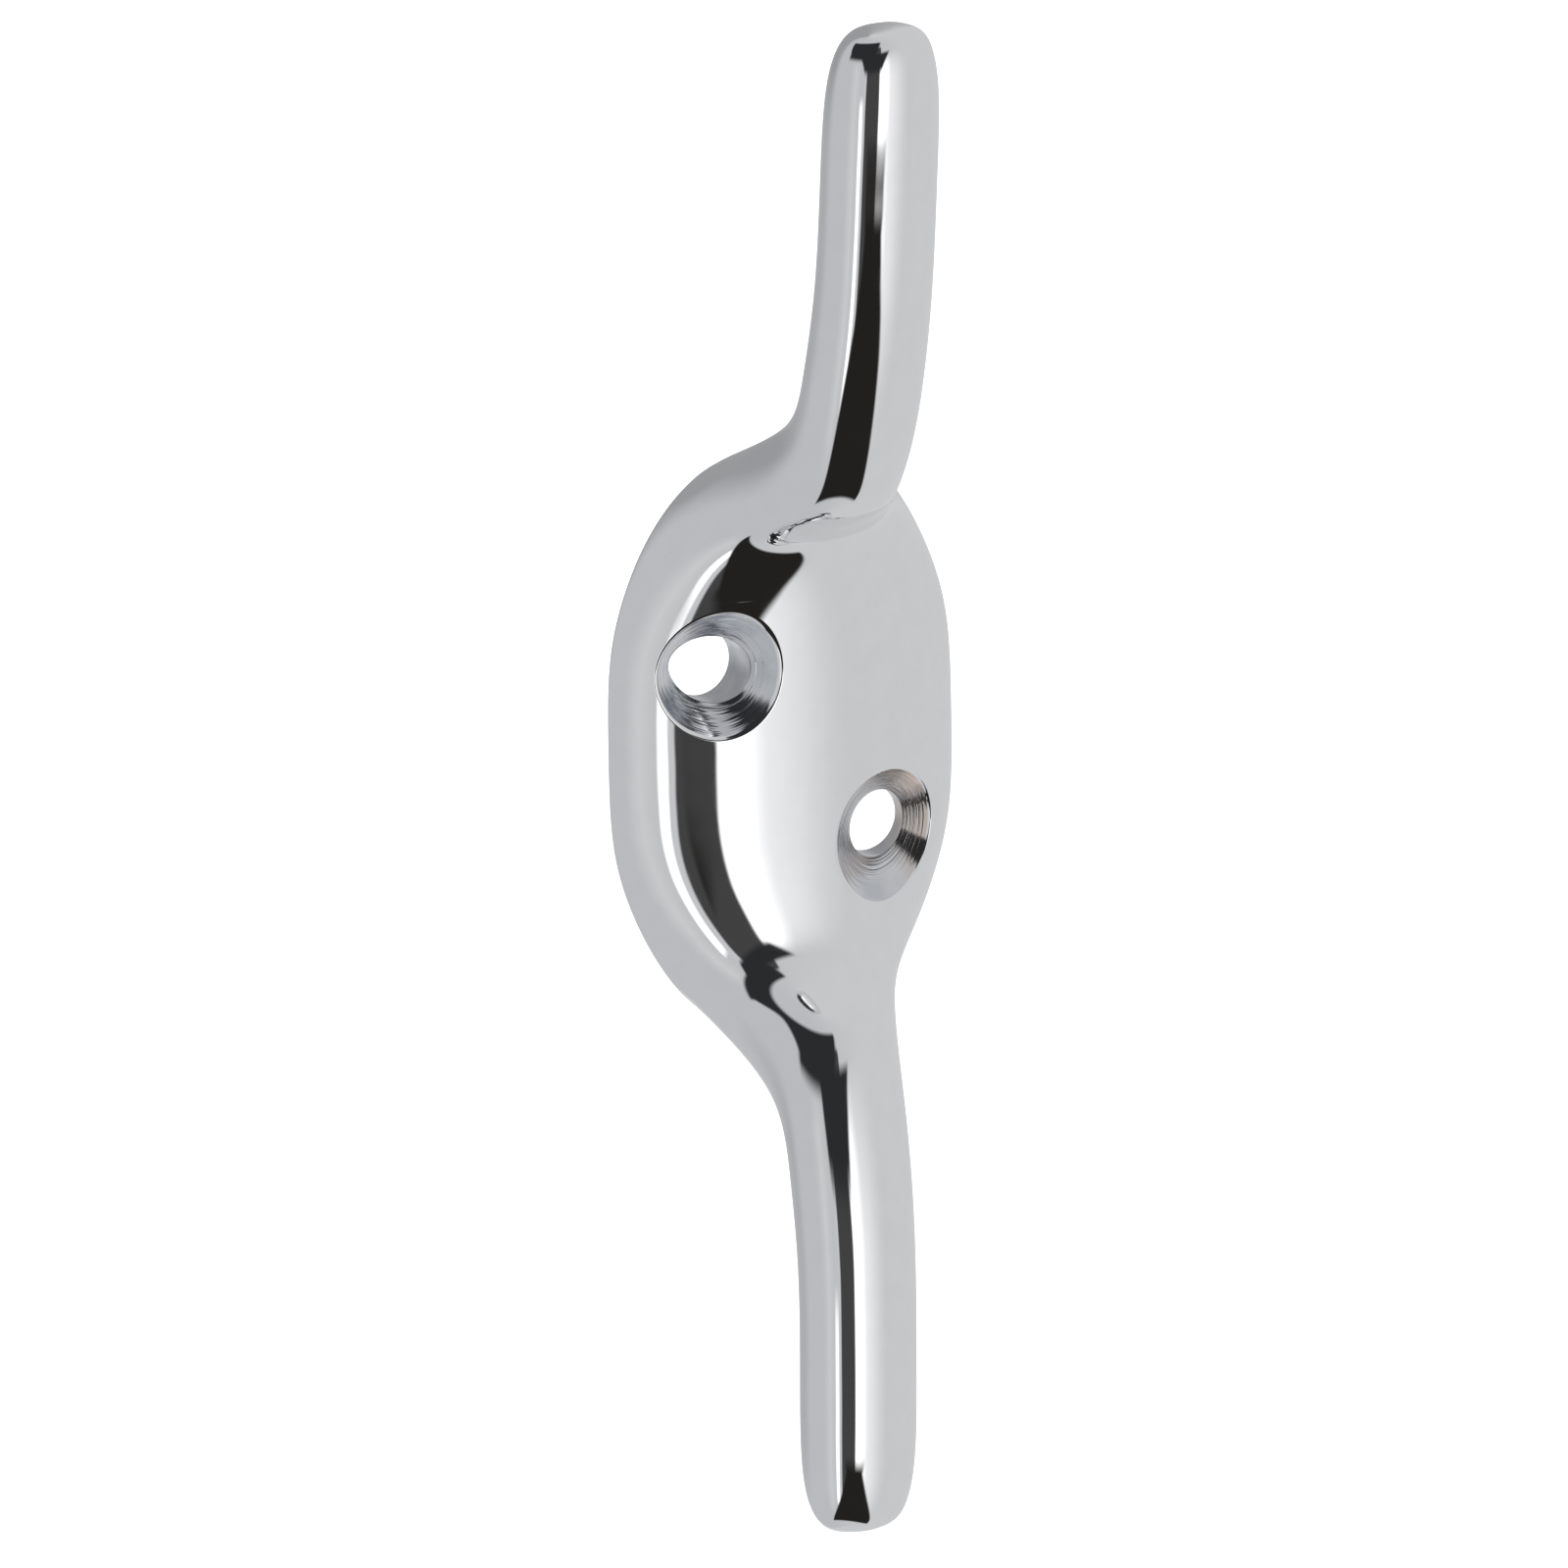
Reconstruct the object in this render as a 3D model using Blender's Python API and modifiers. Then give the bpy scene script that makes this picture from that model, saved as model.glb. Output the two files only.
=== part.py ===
"""Cleat hook for a blind or curtain cord: one cast and plated body.

The wall is the plane Y = 0 and the body stands forward of it, towards -Y.
Z runs up along the two horns and X runs to the right. The origin is the
centre of the flat back. Dimensions are in millimetres and are turned into
metres where the points are made.

The upper half of the body is a stack of ten-sided rings, from the middle of
the dome to the tip of a horn. The lower half is the same stack turned half a
turn about the line of sight, and the whole cage is then subdivided.
"""

import math

import bmesh
import bpy

MM = 0.001

# Driving dimensions, in millimetres
LENGTH = 75.0  # over the tips of both horns
FOOT_WIDTH = 18.7  # oval footprint on the wall
FOOT_HEIGHT = 29.4
CROWN_HEIGHT = 3.6  # front of the dome above the wall, at the middle
HORN_WIDTH = 6.0
HORN_DEPTH = 4.0
HORN_HEIGHT = 9.0  # centre line of a horn above the wall
TIP_LENGTH = 2.6  # rounded end of a horn
TIP_CAP = 0.16  # the cage's last point lies this far beyond the tip
SKEW = 0.036  # sideways lean of the dome towards its upper left and lower right

# Section of the dome, from the middle of the back round to the crown:
# share of the half width, share of the crown's height
DOME_SECTION = (
    (0.0, 0.0),
    (1.0, 0.0),
    (0.97, 0.19),
    (0.74, 0.62),
    (0.42, 0.88),
    (0.0, 1.0),
)
# Rings of the dome: share of half the foot's height, of its half width and of the crown
DOME_RINGS = (
    (0.0, 1.0, 1.0),
    (0.33, 1.0, 1.0),
    (0.56, 0.885, 1.07),
    (0.75, 0.73, 1.27),
)
# End of the foot, where the neck leaves the wall: share of the half width,
# forward in millimetres, share of half the foot's height
FOOT_TOP = (
    (0.0, 0.0, 1.0),
    (0.48, 0.0, 0.94),
    (0.46, 1.6, 0.91),
    (0.43, 4.2, 0.88),
    (0.29, 6.8, 0.85),
    (0.0, 7.8, 0.83),
)
FOOT_TOP_SKEW = 0.5  # share of the dome's lean that is left here
# Rings of a horn: up and forward in millimetres, share of the width and of the
# depth, and how many degrees the centre line leans forward
HORN_RINGS = (
    (15.8, 6.8, 1.04, 1.1, 33),
    (19.8, 7.9, 1.04, 1.05, 16),
    (24.4, 8.8, 1.0, 1.0, 6),
    (30.0, HORN_HEIGHT, 1.0, 1.0, 2),
    (LENGTH / 2 - TIP_LENGTH, HORN_HEIGHT + 0.2, 1.0, 1.0, 2),
    (LENGTH / 2 - 0.2, HORN_HEIGHT + 0.3, 0.72, 0.66, 2),
)
RING_POINTS = 10
# The smooth surface lies inside a ring of the cage by this factor
RING_GROWTH = 6 / (4 + 2 * math.cos(2 * math.pi / RING_POINTS))

# Screw holes, as distances across and up: one left and above, one right and below
UPPER_HOLE = (-4.5, 4.0)
LOWER_HOLE = (4.7, -4.9)
BORE_DIAMETER = 3.3
BORE_LENGTH = 1.2  # from the wall to where a countersink is as wide as its bore
COUNTERSINK_HALF_ANGLE = 43.0
UPPER_COUNTERSINK_SHIFT = -1.0  # the countersinks are cut off centre: this one to the left
LOWER_COUNTERSINK_SHIFT = 0.4  # and this one to the right
COUNTERSINK_REACH = 8.0  # the cutters run this far forward of the wall
CUTTER_OVERRUN = 1.0  # and the bores' this far behind it
CUTTER_SIDES = 64

SUBDIVISIONS = 2
SMOOTH_ANGLE = math.radians(40)

CHROME_COLOUR = (0.78, 0.79, 0.8, 1.0)
CHROME_ROUGHNESS = 0.06


def clear_scene():
    for old in list(bpy.data.objects):
        bpy.data.objects.remove(old, do_unlink=True)


def new_collection(name):
    collection = bpy.data.collections.new(name)
    bpy.context.scene.collection.children.link(collection)
    return collection


def chrome():
    material = bpy.data.materials.new("polished_chrome")
    material.use_nodes = True
    shader = material.node_tree.nodes["Principled BSDF"]
    shader.inputs["Base Color"].default_value = CHROME_COLOUR
    shader.inputs["Metallic"].default_value = 1.0
    shader.inputs["Roughness"].default_value = CHROME_ROUGHNESS
    return material


def point(across, forward, up):
    """A place on the body in metres, from distances in millimetres."""
    return (across * MM, -forward * MM, up * MM)


def whole_ring(half, skew):
    """A ring from its right half, which runs from the back's middle to the front's."""
    left = [(-across, forward, up) for across, forward, up in half[-2:0:-1]]
    return [(across - skew * up, forward, up) for across, forward, up in half + left]


def dome_ring(height_share, width_share, crown_share):
    """A level section through the dome."""
    up = height_share * FOOT_HEIGHT / 2
    half_width = width_share * FOOT_WIDTH / 2
    crown = crown_share * CROWN_HEIGHT
    half = [(across * half_width, forward * crown, up) for across, forward in DOME_SECTION]
    return whole_ring(half, SKEW)


def foot_top_ring():
    half_width = FOOT_WIDTH / 2
    half_height = FOOT_HEIGHT / 2
    half = [(across * half_width, forward, up * half_height) for across, forward, up in FOOT_TOP]
    return whole_ring(half, FOOT_TOP_SKEW * SKEW)


def horn_ring(up, forward, width_share, depth_share, lean):
    """An oval section, square to a centre line leaning forward by lean degrees."""
    slope = math.radians(lean)
    ring = []
    for step in range(RING_POINTS):
        angle = 2 * math.pi * step / RING_POINTS
        across = RING_GROWTH * width_share * HORN_WIDTH / 2 * math.sin(angle)
        out = -RING_GROWTH * depth_share * HORN_DEPTH / 2 * math.cos(angle)
        ring.append((across, forward + out * math.cos(slope), up - out * math.sin(slope)))
    return ring


def turned(ring):
    """The same ring on the other half of the body, in the same order round it."""
    return [(-ring[-side][0], ring[-side][1], -ring[-side][2]) for side in range(len(ring))]


def cap_tip(cage, ring, up):
    """Closes the end of a horn over a middle point."""
    middle = cage.verts.new(point(0, HORN_HEIGHT + 0.3, up))
    for side in range(0, RING_POINTS, 2):
        after = (side + 2) % RING_POINTS
        cage.faces.new((ring[side], ring[side + 1], ring[after], middle))


def body_cage():
    """The whole body as a coarse cage, with the foot's outline creased."""
    upper = [dome_ring(*shares) for shares in DOME_RINGS]
    upper.append(foot_top_ring())
    foot_rings = len(upper)
    upper += [horn_ring(*section) for section in HORN_RINGS]
    sections = [turned(ring) for ring in reversed(upper[1:])] + upper

    cage = bmesh.new()
    crease = cage.edges.layers.float.new("crease_edge")
    rings = [[cage.verts.new(point(*place)) for place in ring] for ring in sections]
    for lower, higher in zip(rings, rings[1:]):
        for side in range(RING_POINTS):
            after = (side + 1) % RING_POINTS
            cage.faces.new((lower[side], lower[after], higher[after], higher[side]))
    cap_tip(cage, rings[-1], LENGTH / 2 + TIP_CAP)
    cap_tip(cage, rings[0], -LENGTH / 2 - TIP_CAP)

    middle = len(upper) - 1
    foot = rings[middle - foot_rings + 1:middle + foot_rings]
    for side in (1, RING_POINTS - 1):
        outline = [foot[0][0]] + [ring[side] for ring in foot] + [foot[-1][0]]
        for start, end in zip(outline, outline[1:]):
            cage.edges.get((start, end))[crease] = 1.0
    bmesh.ops.recalc_face_normals(cage, faces=cage.faces)
    return cage


def make_body(collection):
    cage = body_cage()
    mesh = bpy.data.meshes.new("cleat_casting")
    cage.to_mesh(mesh)
    cage.free()
    mesh.materials.append(chrome())
    body = bpy.data.objects.new("cleat_casting", mesh)
    collection.objects.link(body)
    smooth = body.modifiers.new("casting", "SUBSURF")
    smooth.levels = SUBDIVISIONS
    smooth.render_levels = SUBDIVISIONS
    return body


def round_cutter(name, place, back_radius, back, front_radius, front, collection):
    """A cylinder or cone about a screw's axis, between two distances forward of the wall."""
    solid = bmesh.new()
    bmesh.ops.create_cone(
        solid,
        cap_ends=True,
        segments=CUTTER_SIDES,
        radius1=back_radius * MM,
        radius2=front_radius * MM,
        depth=(front - back) * MM,
    )
    mesh = bpy.data.meshes.new(name)
    solid.to_mesh(mesh)
    solid.free()
    cutter = bpy.data.objects.new(name, mesh)
    collection.objects.link(cutter)
    cutter.rotation_euler = (math.radians(90), 0, 0)
    cutter.location = point(place[0], (front + back) / 2, place[1])
    cutter.hide_render = True
    cutter.display_type = "WIRE"
    return cutter


def cut(body, cutter):
    boolean = body.modifiers.new(cutter.name, "BOOLEAN")
    boolean.operation = "DIFFERENCE"
    boolean.solver = "EXACT"
    boolean.object = cutter


def cut_screw_hole(body, name, place, countersink_shift, collection):
    """A bore through the body and the cone for the screw's head, which may be off centre."""
    radius = BORE_DIAMETER / 2
    flare = math.tan(math.radians(COUNTERSINK_HALF_ANGLE))
    bore = round_cutter(
        name + "_bore", place, radius, -CUTTER_OVERRUN, radius, COUNTERSINK_REACH, collection
    )
    cut(body, bore)
    apex = BORE_LENGTH - radius / flare
    wide = (COUNTERSINK_REACH - apex) * flare
    seat = (place[0] + countersink_shift, place[1])
    cone = round_cutter(
        name + "_countersink", seat, 0, apex, wide, COUNTERSINK_REACH, collection
    )
    cut(body, cone)


def main():
    clear_scene()
    parts = new_collection("cleat_hook")
    cutters = new_collection("cutters")
    body = make_body(parts)
    cut_screw_hole(body, "upper_hole", UPPER_HOLE, UPPER_COUNTERSINK_SHIFT, cutters)
    cut_screw_hole(body, "lower_hole", LOWER_HOLE, LOWER_COUNTERSINK_SHIFT, cutters)
    body.data.shade_smooth()
    body.data.set_sharp_from_angle(angle=SMOOTH_ANGLE)


main()
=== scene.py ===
"""Looks of the cleat hook: the fine chromed casting, its floor, studio light and camera.

Lengths are in millimetres in the shape's own numbers and are turned into metres
where points are made. The wall is Y = 0, forward is -Y and Z runs up the horns.
Left and right are as someone facing the object sees them, so right is +X.
The casting is built from the model's own numbers, with its screw holes cut as
fine rings of mesh instead of by cutters.
"""

import math
import random
from collections import namedtuple

import bmesh
import bpy
import numpy as np
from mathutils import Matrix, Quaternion, Vector
from mathutils.bvhtree import BVHTree
from mathutils.interpolate import poly_3d_calc


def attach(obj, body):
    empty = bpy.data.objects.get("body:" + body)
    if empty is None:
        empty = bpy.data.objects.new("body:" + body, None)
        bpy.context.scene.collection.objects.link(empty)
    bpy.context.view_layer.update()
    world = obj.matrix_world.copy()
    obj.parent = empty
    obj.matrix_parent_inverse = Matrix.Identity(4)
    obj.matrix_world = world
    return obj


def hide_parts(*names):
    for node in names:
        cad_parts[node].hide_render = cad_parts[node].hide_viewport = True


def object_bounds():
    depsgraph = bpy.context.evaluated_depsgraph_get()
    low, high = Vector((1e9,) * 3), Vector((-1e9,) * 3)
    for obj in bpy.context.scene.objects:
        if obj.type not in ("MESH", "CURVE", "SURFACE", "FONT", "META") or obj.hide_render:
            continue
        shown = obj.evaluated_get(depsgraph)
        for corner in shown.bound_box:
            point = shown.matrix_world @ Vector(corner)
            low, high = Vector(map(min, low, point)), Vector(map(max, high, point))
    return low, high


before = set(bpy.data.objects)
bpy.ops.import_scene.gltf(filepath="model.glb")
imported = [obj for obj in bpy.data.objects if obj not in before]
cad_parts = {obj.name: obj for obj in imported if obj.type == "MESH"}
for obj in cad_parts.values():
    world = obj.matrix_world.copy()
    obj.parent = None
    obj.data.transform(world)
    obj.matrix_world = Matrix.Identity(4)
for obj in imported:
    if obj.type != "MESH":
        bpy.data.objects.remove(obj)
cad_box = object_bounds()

MM = 0.001

# Driving dimensions of the casting, the same as the model's own
LENGTH = 75.0  # over the tips of both horns
FOOT_WIDTH = 18.7  # oval footprint on the wall
FOOT_HEIGHT = 29.4
CROWN_HEIGHT = 3.6  # front of the dome above the wall, at the middle
HORN_WIDTH = 6.0
HORN_DEPTH = 4.0
HORN_HEIGHT = 9.0  # centre line of a horn above the wall
TIP_LENGTH = 2.6  # rounded end of a horn
TIP_CAP = 0.16  # the cage's last point lies this far beyond the tip
SKEW = 0.036  # sideways lean of the dome towards its upper left and lower right

# Section of the dome, from the middle of the back round to the crown:
# share of the half width, share of the crown's height
DOME_SECTION = (
    (0.0, 0.0),
    (1.0, 0.0),
    (0.97, 0.19),
    (0.74, 0.62),
    (0.42, 0.88),
    (0.0, 1.0),
)
# Rings of the dome: share of half the foot's height, of its half width and of the crown
DOME_RINGS = (
    (0.0, 1.0, 1.0),
    (0.33, 1.0, 1.0),
    (0.56, 0.885, 1.07),
    (0.75, 0.73, 1.27),
)
# End of the foot, where the neck leaves the wall: share of the half width,
# forward in millimetres, share of half the foot's height
FOOT_TOP = (
    (0.0, 0.0, 1.0),
    (0.48, 0.0, 0.94),
    (0.46, 1.6, 0.91),
    (0.43, 4.2, 0.88),
    (0.29, 6.8, 0.85),
    (0.0, 7.8, 0.83),
)
FOOT_TOP_SKEW = 0.5  # share of the dome's lean that is left here
# Rings of a horn: up and forward in millimetres, share of the width and of the
# depth, and how many degrees the centre line leans forward
HORN_RINGS = (
    (15.8, 6.8, 1.04, 1.1, 33),
    (19.8, 7.9, 1.04, 1.05, 16),
    (24.4, 8.8, 1.0, 1.0, 6),
    (30.0, HORN_HEIGHT, 1.0, 1.0, 2),
    (LENGTH / 2 - TIP_LENGTH, HORN_HEIGHT + 0.2, 1.0, 1.0, 2),
    (LENGTH / 2 - 0.2, HORN_HEIGHT + 0.3, 0.72, 0.66, 2),
)
RING_POINTS = 10
# The smooth surface lies inside a ring of the cage by this factor
RING_GROWTH = 6 / (4 + 2 * math.cos(2 * math.pi / RING_POINTS))

# Screw holes, as distances across and up. Both countersinks are cut off centre.
UPPER_HOLE = (-4.5, 4.0)
LOWER_HOLE = (4.7, -4.9)
BORE_RADIUS = 1.65
BORE_LENGTH = 1.2  # from the wall to where a countersink is as wide as its bore
COUNTERSINK_HALF_ANGLE = 43.0
UPPER_COUNTERSINK_SHIFT = -1.0  # to the left
LOWER_COUNTERSINK_SHIFT = 0.4  # to the right

# Fineness of the surface
BODY_LEVELS = 4
REFERENCE_LEVELS = 6  # the surface that the holes' rings and normals are read from
FOOT_CREASE = 0.56  # leaves the foot's edge with a small radius
SHARP_ANGLE = math.radians(50)

# The holes' fine rings, in millimetres
HOLE_SIDES = 192
RIM_SEARCH_STEPS = 20
WIDEST_RIM = 2.6 * BORE_RADIUS
RIM_ROUNDING = 0.13  # a rim is rounded this far to both sides of its corner
RIM_STEPS = 7
PATCH_MARGIN = 0.5  # width of the fine skin outside a rim
PATCH_OVERLAP = 0.03  # the coarser skin is cleared this much further out
PATCH_REACH = 5.6  # the skin within this of a countersink's axis gets finer normals
SKIN_DEPTH = 0.002  # a vertex this near the finer surface lies on the skin
DOME_FRONT = 0.4  # the dome's front stands further forward than this
FLAT_BACK = 0.02  # and its back no further than this
BORE_SHARES = (0.0, 0.35, 0.7, 1.0)  # rings of a bore, from its countersink to its back edge
EDGE_ROUNDING = 0.06  # radius of a bore's edge at the back
EDGE_TURNS = (30, 60, 90)  # and the angles of the rings that round it
EDGE_BREAK = EDGE_ROUNDING / 3  # a smaller break where a countersink meets its bore
BACK_MARGIN = 0.5  # width of the fine ring round a bore on the flat back

# Grooves that the countersink's cutter left, in millimetres
TURNING_RINGS = 64
TURNING_DEPTH = 0.0032
TURNING_FADE = 8  # they fade out over one part in this many, at both ends
UPPER_SEED = 3
LOWER_SEED = 8


def point(across, forward, up):
    """A place on the body in metres, from distances in millimetres."""
    return Vector((across * MM, -forward * MM, up * MM))


def whole_ring(half, skew):
    """A ring from its right half, which runs from the back's middle to the front's."""
    left = [(-across, forward, up) for across, forward, up in half[-2:0:-1]]
    return [(across - skew * up, forward, up) for across, forward, up in half + left]


def dome_ring(height_share, width_share, crown_share):
    """A level section through the dome."""
    up = height_share * FOOT_HEIGHT / 2
    half_width = width_share * FOOT_WIDTH / 2
    crown = crown_share * CROWN_HEIGHT
    half = [(across * half_width, forward * crown, up) for across, forward in DOME_SECTION]
    return whole_ring(half, SKEW)


def foot_top_ring():
    half_width = FOOT_WIDTH / 2
    half_height = FOOT_HEIGHT / 2
    half = [(across * half_width, forward, up * half_height) for across, forward, up in FOOT_TOP]
    return whole_ring(half, FOOT_TOP_SKEW * SKEW)


def horn_ring(up, forward, width_share, depth_share, lean):
    """An oval section, square to a centre line leaning forward by lean degrees."""
    slope = math.radians(lean)
    ring = []
    for step in range(RING_POINTS):
        angle = 2 * math.pi * step / RING_POINTS
        across = RING_GROWTH * width_share * HORN_WIDTH / 2 * math.sin(angle)
        out = -RING_GROWTH * depth_share * HORN_DEPTH / 2 * math.cos(angle)
        ring.append((across, forward + out * math.cos(slope), up - out * math.sin(slope)))
    return ring


def turned(ring):
    """The same ring on the other half of the body, in the same order round it."""
    return [(-ring[-side][0], ring[-side][1], -ring[-side][2]) for side in range(len(ring))]


def cap_tip(cage, ring, up):
    """Closes the end of a horn over a middle point."""
    middle = cage.verts.new(point(0, HORN_HEIGHT + 0.3, up))
    for side in range(0, RING_POINTS, 2):
        after = (side + 2) % RING_POINTS
        cage.faces.new((ring[side], ring[side + 1], ring[after], middle))


def casting_cage():
    """An object holding the whole body as a coarse cage, with the foot's outline creased."""
    upper = [dome_ring(*shares) for shares in DOME_RINGS]
    upper.append(foot_top_ring())
    foot_rings = len(upper)
    upper += [horn_ring(*section) for section in HORN_RINGS]
    sections = [turned(ring) for ring in reversed(upper[1:])] + upper

    cage = bmesh.new()
    crease = cage.edges.layers.float.new("crease_edge")
    rings = [[cage.verts.new(point(*place)) for place in ring] for ring in sections]
    for lower, higher in zip(rings, rings[1:]):
        for side in range(RING_POINTS):
            after = (side + 1) % RING_POINTS
            cage.faces.new((lower[side], lower[after], higher[after], higher[side]))
    cap_tip(cage, rings[-1], LENGTH / 2 + TIP_CAP)
    cap_tip(cage, rings[0], -LENGTH / 2 - TIP_CAP)

    middle = len(upper) - 1
    foot = rings[middle - foot_rings + 1:middle + foot_rings]
    for side in (1, RING_POINTS - 1):
        outline = [foot[0][0]] + [ring[side] for ring in foot] + [foot[-1][0]]
        for start, end in zip(outline, outline[1:]):
            cage.edges.get((start, end))[crease] = FOOT_CREASE
    bmesh.ops.recalc_face_normals(cage, faces=cage.faces)
    mesh = bpy.data.meshes.new("cage")
    cage.to_mesh(mesh)
    cage.free()
    holder = bpy.data.objects.new("cage", mesh)
    bpy.context.collection.objects.link(holder)
    return holder


def smooth_casting(levels):
    """The whole body without its holes, as a bmesh of the given fineness."""
    holder = casting_cage()
    smooth = holder.modifiers.new("smooth", "SUBSURF")
    smooth.levels = levels
    smooth.render_levels = levels
    evaluated = holder.evaluated_get(bpy.context.evaluated_depsgraph_get())
    body = bmesh.new()
    body.from_mesh(evaluated.to_mesh())
    evaluated.to_mesh_clear()
    cage_mesh = holder.data
    bpy.data.objects.remove(holder)
    bpy.data.meshes.remove(cage_mesh)
    return body


class ScrewHole:
    """A countersunk hole and the patch of fine surface around it."""

    def __init__(self, place, shift, surface):
        self.bore_centre = np.array(place)
        self.cone_centre = np.array(place) + np.array((shift, 0.0))
        self.surface = surface
        self.flare = math.tan(math.radians(COUNTERSINK_HALF_ANGLE))
        turn = np.arange(HOLE_SIDES) * (2 * math.pi / HOLE_SIDES)
        self.around = np.stack((np.cos(turn), np.sin(turn)), axis=1)
        self.rim = np.array([self.rim_radius(way) for way in self.around])

    def dome_height(self, place):
        """How far the dome's front stands from the wall at a place across and up."""
        start = point(place[0], 2 * HORN_HEIGHT, place[1])
        hit = self.surface.ray_cast(start, Vector((0, 1, 0)))[0]
        return -hit.y / MM

    def cone_height(self, place):
        """How far the countersink's cone stands from the wall at a place across and up."""
        reach = math.dist(place, self.cone_centre)
        return BORE_LENGTH + (reach - BORE_RADIUS) / self.flare

    def rim_radius(self, way):
        """Where the cone meets the dome, in one direction from the cone's axis."""
        near = BORE_RADIUS
        far = WIDEST_RIM
        for _ in range(RIM_SEARCH_STEPS):
            middle = (near + far) / 2
            place = self.cone_centre + way * middle
            if self.cone_height(place) < self.dome_height(place):
                near = middle
            else:
                far = middle
        return near

    def reach_towards(self, across, up):
        """The patch's outer radius in the direction of a place."""
        turn = math.atan2(up - self.cone_centre[1], across - self.cone_centre[0])
        step = turn / (2 * math.pi) * HOLE_SIDES % HOLE_SIDES
        low = int(step) % HOLE_SIDES
        high = (low + 1) % HOLE_SIDES
        share = step - int(step)
        return self.rim[low] * (1 - share) + self.rim[high] * share + PATCH_MARGIN

    def front_covers(self, place):
        """Whether the fine skin round the countersink takes the place of a point in metres."""
        across = place.x / MM
        up = place.z / MM
        if -place.y / MM < DOME_FRONT:
            return False
        apart = math.dist((across, up), self.cone_centre)
        return apart < self.reach_towards(across, up) + PATCH_OVERLAP

    def back_covers(self, place):
        """Whether the ring round the bore takes the place of a point on the back."""
        if -place.y / MM > FLAT_BACK:
            return False
        apart = math.dist((place.x / MM, place.z / MM), self.bore_centre)
        return apart < BORE_RADIUS + BACK_MARGIN + PATCH_OVERLAP

    def dome_points(self, beyond):
        """A ring on the dome, at a distance outside the rim."""
        ring = []
        for way, radius in zip(self.around, self.rim):
            place = self.cone_centre + way * (radius + beyond)
            ring.append(np.array((place[0], self.dome_height(place), place[1])))
        return ring

    def cone_points(self, inside):
        """A ring on the cone, at a distance inside the rim."""
        ring = []
        for way, radius in zip(self.around, self.rim):
            place = self.cone_centre + way * (radius - inside)
            ring.append(np.array((place[0], self.cone_height(place), place[1])))
        return ring

    def rim_rings(self):
        """The rounded rim, a curve from the dome to the cone about their sharp corner."""
        outer = self.dome_points(RIM_ROUNDING)
        corner = self.dome_points(0)
        inner = self.cone_points(RIM_ROUNDING)
        rings = []
        for step in range(RIM_STEPS + 1):
            share = step / RIM_STEPS
            rings.append([
                a * (1 - share) ** 2 + b * 2 * share * (1 - share) + c * share ** 2
                for a, b, c in zip(outer, corner, inner)
            ])
        return rings

    def turned_rings(self, marks):
        """The cone down to the bore, with the fine grooves that the countersink left."""
        lean = math.radians(COUNTERSINK_HALF_ANGLE)
        starts = self.cone_points(RIM_ROUNDING)
        rings = []
        for step in range(1, TURNING_RINGS + 1):
            share = step / TURNING_RINGS
            ring = []
            for start, way in zip(starts, self.around):
                end = self.bore_centre + way * (BORE_RADIUS + EDGE_BREAK)
                place = np.array((start[0], start[2])) * (1 - share) + end * share
                radial = (place - self.cone_centre) / math.dist(place, self.cone_centre)
                fade = min(1.0, TURNING_FADE * share, TURNING_FADE * (1 - share))
                depth = fade * marks[step]
                height = self.cone_height(place) - depth * math.sin(lean)
                place = place + radial * depth * math.cos(lean)
                ring.append(np.array((place[0], height, place[1])))
            rings.append(ring)
        return rings

    def bore_rings(self):
        """The straight bore and its edge at the back."""
        top = [self.bore_centre + way * BORE_RADIUS for way in self.around]
        height = [self.cone_height(place) - EDGE_BREAK for place in top]
        rings = []
        for share in BORE_SHARES:
            rings.append([
                np.array((place[0], high * (1 - share) + EDGE_ROUNDING * share, place[1]))
                for place, high in zip(top, height)
            ])
        for turn in EDGE_TURNS:
            out = EDGE_ROUNDING * (1 - math.cos(math.radians(turn)))
            low = EDGE_ROUNDING * (1 - math.sin(math.radians(turn)))
            rings.append(self.flat_ring(BORE_RADIUS + out, low))
        rings.append(self.flat_ring(BORE_RADIUS + BACK_MARGIN / 2, 0))
        rings.append(self.flat_ring(BORE_RADIUS + BACK_MARGIN, 0))
        return rings

    def flat_ring(self, radius, forward):
        """A round ring about the bore's axis."""
        places = [self.bore_centre + way * radius for way in self.around]
        return [np.array((place[0], forward, place[1])) for place in places]


def turning_marks(seed):
    """The depth of each groove down the cone, as the cutter left it."""
    chance = random.Random(seed)
    return [chance.gauss(0, TURNING_DEPTH) for _ in range(TURNING_RINGS + 1)]


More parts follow.
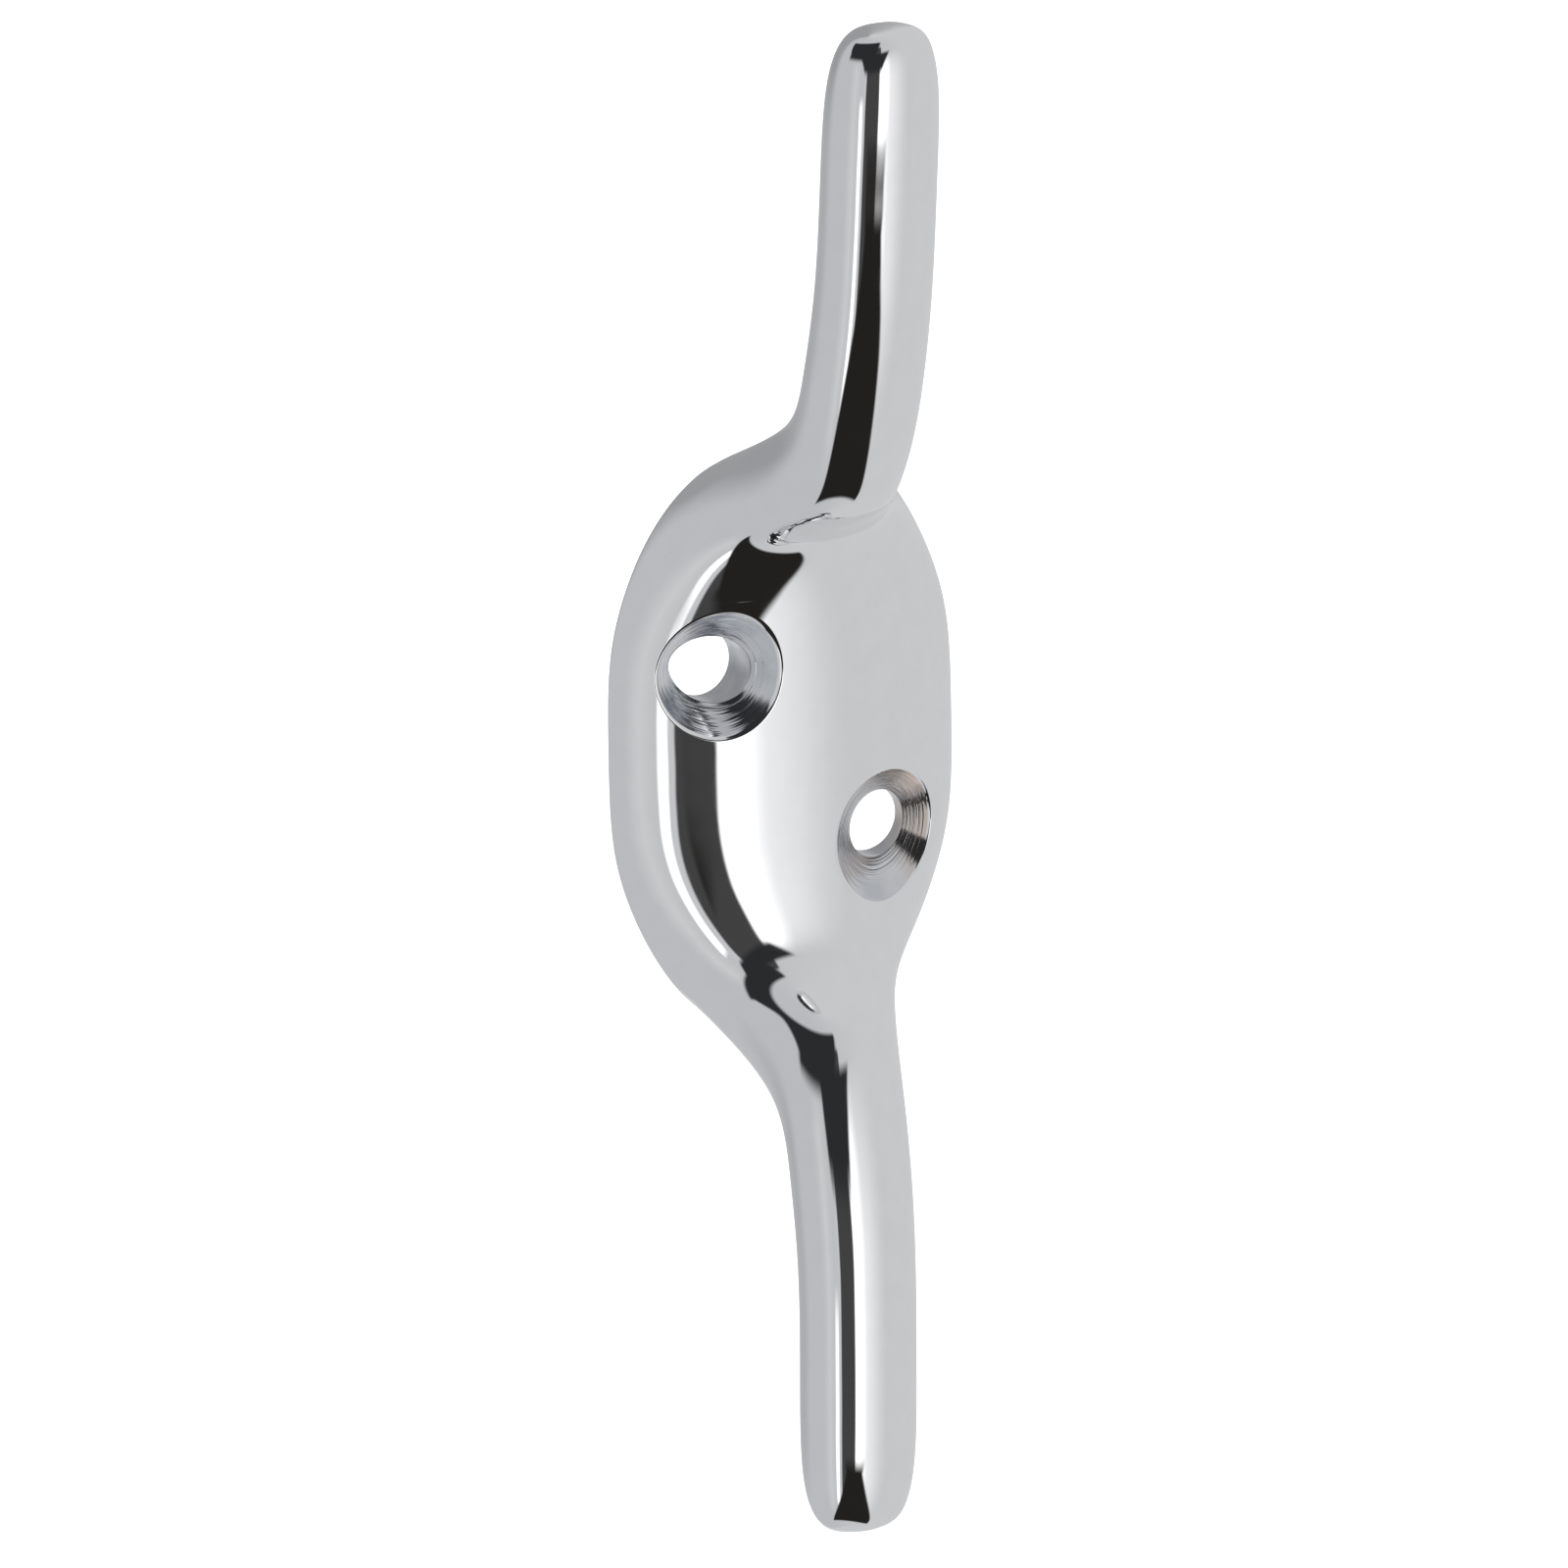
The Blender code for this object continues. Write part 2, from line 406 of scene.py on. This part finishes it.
def add_hole(body, hole, seed):
    """Replaces the surface around a hole with the rounded rim, the cone and the bore."""
    doomed = [
        face for face in body.faces
        if any(hole.front_covers(v.co) or hole.back_covers(v.co) for v in face.verts)
    ]
    bmesh.ops.delete(body, geom=doomed, context="FACES")
    open_edges = [edge for edge in body.edges if edge.is_boundary]
    front = [edge for edge in open_edges if edge.verts[0].co.y < -DOME_FRONT * MM]
    back = [edge for edge in open_edges if edge.verts[0].co.y > -FLAT_BACK * MM]
    rings = [hole.dome_points(PATCH_MARGIN), hole.dome_points((PATCH_MARGIN + RIM_ROUNDING) / 2)]
    rings += hole.rim_rings()
    first_cut = len(rings)
    rings += hole.turned_rings(turning_marks(seed))
    last_cut = len(rings) + len(BORE_SHARES)
    rings += hole.bore_rings()
    made = [[body.verts.new(point(*place)) for place in ring] for ring in rings]
    for index, (outer, inner) in enumerate(zip(made, made[1:])):
        for side in range(HOLE_SIDES):
            after = (side + 1) % HOLE_SIDES
            face = body.faces.new((outer[side], outer[after], inner[after], inner[side]))
            face.smooth = True
            face.material_index = int(first_cut <= index + 1 < last_cut)
    for ragged, ring in ((front, made[0]), (back, made[-1])):
        circle = [body.edges.get((ring[side - 1], ring[side])) for side in range(HOLE_SIDES)]
        bmesh.ops.triangle_fill(body, use_beauty=True, edges=ragged + circle)


def shade_patches(mesh, reference, surface, holes):
    """Gives the skin round the holes the finer surface's normals, so that the patches don't show."""
    normals = np.empty((len(mesh.loops), 3), dtype=np.float32)
    mesh.corner_normals.foreach_get("vector", normals.ravel())
    owners = np.empty(len(mesh.loops), dtype=np.int32)
    mesh.loops.foreach_get("vertex_index", owners)
    smoothed = {}
    for vertex in mesh.vertices:
        place = vertex.co
        near = any(
            math.dist((place.x / MM, place.z / MM), hole.cone_centre) < PATCH_REACH
            for hole in holes
        )
        if not near or -place.y / MM < DOME_FRONT:
            continue
        spot, _, index, apart = surface.find_nearest(place)
        if apart > SKIN_DEPTH * MM:
            continue
        corners = reference.faces[index].verts
        shares = poly_3d_calc([corner.co for corner in corners], spot)
        normal = Vector()
        for share, corner in zip(shares, corners):
            normal += corner.normal * share
        smoothed[vertex.index] = normal.normalized()
    chosen = np.isin(owners, list(smoothed))
    normals[chosen] = [smoothed[owner] for owner in owners[chosen]]
    mesh.normals_split_custom_set(normals)


def casting(materials):
    """The chromed casting, with a polished and a turned material."""
    reference = smooth_casting(REFERENCE_LEVELS)
    reference.normal_update()
    reference.faces.ensure_lookup_table()
    surface = BVHTree.FromBMesh(reference)
    body = smooth_casting(BODY_LEVELS)
    upper = ScrewHole(UPPER_HOLE, UPPER_COUNTERSINK_SHIFT, surface)
    lower = ScrewHole(LOWER_HOLE, LOWER_COUNTERSINK_SHIFT, surface)
    add_hole(body, upper, UPPER_SEED)
    add_hole(body, lower, LOWER_SEED)
    bmesh.ops.recalc_face_normals(body, faces=body.faces)
    mesh = bpy.data.meshes.new("chromed_casting")
    body.to_mesh(mesh)
    body.free()
    for material in materials:
        mesh.materials.append(material)
    piece = bpy.data.objects.new("chromed_casting", mesh)
    bpy.context.collection.objects.link(piece)
    mesh.shade_smooth()
    mesh.set_sharp_from_angle(angle=SHARP_ANGLE)
    shade_patches(mesh, reference, surface, (upper, lower))
    reference.free()
    return piece


def new_material(name):
    material = bpy.data.materials.new(name)
    material.use_nodes = True
    tree = material.node_tree
    return material, tree, tree.nodes["Principled BSDF"]


def node(tree, kind, inputs=(), **settings):
    """A node with its settings made and its sockets set or linked."""
    made = tree.nodes.new(kind)
    for name, value in settings.items():
        setattr(made, name, value)
    for socket, value in dict(inputs).items():
        if isinstance(value, bpy.types.NodeSocket):
            tree.links.new(value, made.inputs[socket])
        else:
            made.inputs[socket].default_value = value
    return made


def ramp(tree, value, low, edge):
    """0 below low and 1 above, over a soft edge."""
    return node(tree, "ShaderNodeMapRange", {
        "Value": value, "From Min": low - edge / 2, "From Max": low + edge / 2,
    }, interpolation_type="SMOOTHSTEP").outputs["Result"]


def maths(tree, operation, *values):
    return node(tree, "ShaderNodeMath", enumerate(values), operation=operation).outputs[0]


def times(tree, first, second):
    return maths(tree, "MULTIPLY", first, second)


def less(tree, first, second):
    return maths(tree, "SUBTRACT", first, second)


def over(tree, below, mask, colour):
    """A colour laid over another by a mask."""
    mix = node(tree, "ShaderNodeMix", data_type="RGBA")
    factor, first, second = (socket for socket in mix.inputs if socket.enabled)
    tree.links.new(mask, factor)
    if isinstance(below, bpy.types.NodeSocket):
        tree.links.new(below, first)
    else:
        first.default_value = (*below, 1)
    second.default_value = (*colour, 1)
    return next(socket for socket in mix.outputs if socket.enabled)


# The plate: noise scales are in cycles for each metre
WIPING_SCALE = 900.0
WAVE_SCALE = 260.0
WAVE_HEIGHT = 0.2 * MM
STAIN_SCALE = 500.0
# A warm reflection is painted into the lower countersink's colour, on the side that faces the body's
# right edge
WARM_REFLECTION_START = 6.1 * MM
WARM_REFLECTION_EDGE = 2.2 * MM
WARM_REFLECTION_COLOUR = (0.78, 0.69, 0.62)


def patchy_metal(name, scale, detail, low_tone, high_tone, roughness):
    """Bare metal whose tone and roughness both follow one fine noise.

    A tone is a place on the noise and a colour, and roughness is its least and most.
    """
    material, tree, shader = new_material(name)
    place = node(tree, "ShaderNodeTexCoord").outputs["Object"]
    patches = node(tree, "ShaderNodeTexNoise", {
        "Vector": place, "Scale": scale, "Detail": detail,
    }).outputs["Fac"]
    tone = node(tree, "ShaderNodeValToRGB", {"Fac": patches})
    for stop, (position, colour) in zip(tone.color_ramp.elements, (low_tone, high_tone)):
        stop.position = position
        stop.color = (*colour, 1)
    rough = node(tree, "ShaderNodeMapRange", {
        "Value": patches, "From Min": 0.3, "From Max": 0.75,
        "To Min": roughness[0], "To Max": roughness[1],
    })
    tree.links.new(rough.outputs["Result"], shader.inputs["Roughness"])
    shader.inputs["Metallic"].default_value = 1.0
    return material, tree, shader, place, tone.outputs["Color"]


def polished_chrome():
    """Hand buffed plate: mirror bright, a little wavy, with faint wiping marks."""
    material, tree, shader, place, tone = patchy_metal(
        "polished_chrome", WIPING_SCALE, 5.0,
        (0.35, (0.845, 0.848, 0.855)), (0.7, (0.865, 0.868, 0.872)), (0.02, 0.06),
    )
    waves = node(tree, "ShaderNodeTexNoise", {
        "Vector": place, "Scale": WAVE_SCALE, "Detail": 1.0,
    })
    bump = node(tree, "ShaderNodeBump", {
        "Height": waves.outputs["Fac"], "Strength": 0.08, "Distance": WAVE_HEIGHT,
    })
    tree.links.new(tone, shader.inputs["Base Color"])
    tree.links.new(bump.outputs["Normal"], shader.inputs["Normal"])
    return material


def turned_chrome():
    """Plate over the cut metal of the countersinks, duller and lightly stained, with a warm
    reflection painted into the colour towards the body's right edge.
    """
    material, tree, shader, place, tone = patchy_metal(
        "turned_chrome", STAIN_SCALE, 3.0,
        (0.38, (0.60, 0.62, 0.65)), (0.66, (0.74, 0.75, 0.77)), (0.08, 0.17),
    )
    side = node(tree, "ShaderNodeSeparateXYZ", {"Vector": place}).outputs["X"]
    # Painted warm reflection: the colour turns warm towards the body's right edge
    warm_reflection_mask = ramp(tree, side, WARM_REFLECTION_START, WARM_REFLECTION_EDGE)
    tree.links.new(over(tree, tone, warm_reflection_mask, WARM_REFLECTION_COLOUR), shader.inputs["Base Color"])
    return material


# The light tent round the object, in degrees: across turns from straight ahead to the
# right (negative is left) and up is above level. Its two sides differ a little in tone.
LEFT_SIDE = (0.565, 0.575, 0.59)
RIGHT_SIDE = (0.655, 0.66, 0.67)
SIDE_BLEND = 120

# A panel has a middle, a half width that grows by so much for each degree away from its
# waist, a lowest and a highest edge, how soft its sides and its ends are, and a colour.
# A later panel hides an earlier one.
Panel = namedtuple("Panel", "middle half growth waist low high side_edge end_edge colour")
BEHIND = (0.36, 0.365, 0.375)
LOW_GAP = (0.018, 0.017, 0.015)
HIGH_GAP = (0.026, 0.028, 0.03)
PANELS = (
    # The tent's dimmer part behind the object, on both sides of straight back
    Panel(-180, 58, 0.0, 0, -16, 95, 40, 36, BEHIND),
    Panel(180, 35, 0.0, 0, -16, 95, 30, 36, BEHIND),
    # Soft light from the left, the wide soft box in front and its bright heart
    Panel(-45, 4, 0.0, 0, -45, 14, 26, 20, (0.71, 0.715, 0.72)),
    Panel(5, 20, 0.0, 0, -38, 12, 36, 36, (1.0, 1.0, 1.01)),
    Panel(2, 6, 0.0, 0, -37, 12, 14, 22, (1.7, 1.7, 1.7)),
    # A narrow bright strip, and beside it the gap that the tent is opened at
    Panel(-31, 3, 0.0, 0, -38, -11, 2, 8, (1.5, 1.5, 1.5)),
    Panel(-13, 10.5, 0.0, 0, -62, 40, 2, 8, (0.062, 0.061, 0.062)),
    # The gap spreads out above and below
    Panel(-14, 12, 0.5, 0, 4, 26, 4, 8, HIGH_GAP),
    Panel(-40, 30, 0.3, 25, 18, 58, 5, 8, HIGH_GAP),
    Panel(-4, 12, 0.9, -21, -64, -19, 4, 4, LOW_GAP),
)


def studio_light():
    """The tent as the world's light; the camera itself sees plain white behind the object."""
    world = bpy.data.worlds.new("studio")
    bpy.context.scene.world = world
    world.use_nodes = True
    tree = world.node_tree
    tree.nodes.clear()
    way = node(tree, "ShaderNodeSeparateXYZ", {
        "Vector": node(tree, "ShaderNodeTexCoord").outputs["Generated"],
    })
    ahead = times(tree, way.outputs["Y"], -1.0)
    across = maths(tree, "DEGREES", maths(tree, "ARCTAN2", way.outputs["X"], ahead))
    up = maths(tree, "DEGREES", maths(tree, "ARCSINE", way.outputs["Z"]))
    light = over(tree, LEFT_SIDE, ramp(tree, across, 0, SIDE_BLEND), RIGHT_SIDE)
    for panel in PANELS:
        aside = maths(tree, "ABSOLUTE", less(tree, across, panel.middle))
        away = maths(tree, "ABSOLUTE", less(tree, up, panel.waist))
        reach = less(tree, aside, times(tree, away, panel.growth))
        above = ramp(tree, up, panel.low, panel.end_edge)
        tall = less(tree, above, ramp(tree, up, panel.high, panel.end_edge))
        wide = less(tree, 1.0, ramp(tree, reach, panel.half, panel.side_edge))
        light = over(tree, light, times(tree, wide, tall), panel.colour)
    lit = node(tree, "ShaderNodeBackground", {"Color": light})
    plain = node(tree, "ShaderNodeBackground", {"Color": (1, 1, 1, 1)})
    seen = node(tree, "ShaderNodeLightPath").outputs["Is Camera Ray"]
    mixed = node(tree, "ShaderNodeMixShader", {0: seen, 1: lit.outputs[0], 2: plain.outputs[0]})
    output = node(tree, "ShaderNodeOutputWorld", {"Surface": mixed.outputs[0]})
    output.is_active_output = True


FLOOR_DROP = 0.03
FLOOR_SIZE = 4.0
FLOOR_COLOUR = (0.93, 0.93, 0.93, 1)
FLOOR_GLOW = 1.0  # the floor is a light table, so the object throws no shadow on it


def pale_floor():
    """A plain white floor that the chrome doesn't mirror."""
    sheet = bmesh.new()
    bmesh.ops.create_grid(sheet, x_segments=1, y_segments=1, size=FLOOR_SIZE)
    mesh = bpy.data.meshes.new("floor")
    sheet.to_mesh(mesh)
    sheet.free()
    floor = bpy.data.objects.new("floor", mesh)
    bpy.context.collection.objects.link(floor)
    floor.location.z = cad_box[0][2] - FLOOR_DROP
    material, tree, shader = new_material("pale_floor")
    shader.inputs["Base Color"].default_value = FLOOR_COLOUR
    shader.inputs["Roughness"].default_value = 0.9
    shader.inputs["Emission Color"].default_value = (1, 1, 1, 1)
    shader.inputs["Emission Strength"].default_value = FLOOR_GLOW
    mesh.materials.append(material)
    floor.visible_glossy = False


CAMERA_LEFT = 28.5  # degrees to the left of straight ahead
CAMERA_UP = 16.5
CAMERA_ROLL = 0.95
CAMERA_DISTANCE = 2.5
CAMERA_AIM = (-0.000116, -0.000767, -0.002464)
SENSOR_WIDTH = 36.0
FRAME_WIDTH = 75.1 * MM  # what the picture covers at the object


def studio_camera():
    left = math.radians(CAMERA_LEFT)
    high = math.radians(CAMERA_UP)
    towards = Vector((
        -math.sin(left) * math.cos(high),
        -math.cos(left) * math.cos(high),
        math.sin(high),
    ))
    data = bpy.data.cameras.new("camera")
    camera = bpy.data.objects.new("camera", data)
    bpy.context.collection.objects.link(camera)
    data.sensor_width = SENSOR_WIDTH
    data.lens = SENSOR_WIDTH * CAMERA_DISTANCE / FRAME_WIDTH
    data.clip_start = 0.05
    level = (-towards).to_track_quat("-Z", "Y")
    back = level.to_matrix() @ Vector((0, 0, 1))
    camera.location = Vector(CAMERA_AIM) + towards * CAMERA_DISTANCE
    camera.rotation_mode = "QUATERNION"
    camera.rotation_quaternion = Quaternion(back, math.radians(CAMERA_ROLL)) @ level
    bpy.context.scene.camera = camera


studio_light()
pale_floor()
studio_camera()
bpy.context.scene.view_settings.view_transform = "Standard"

piece = casting((polished_chrome(), turned_chrome()))
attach(piece, "root")
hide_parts("cleat_casting")
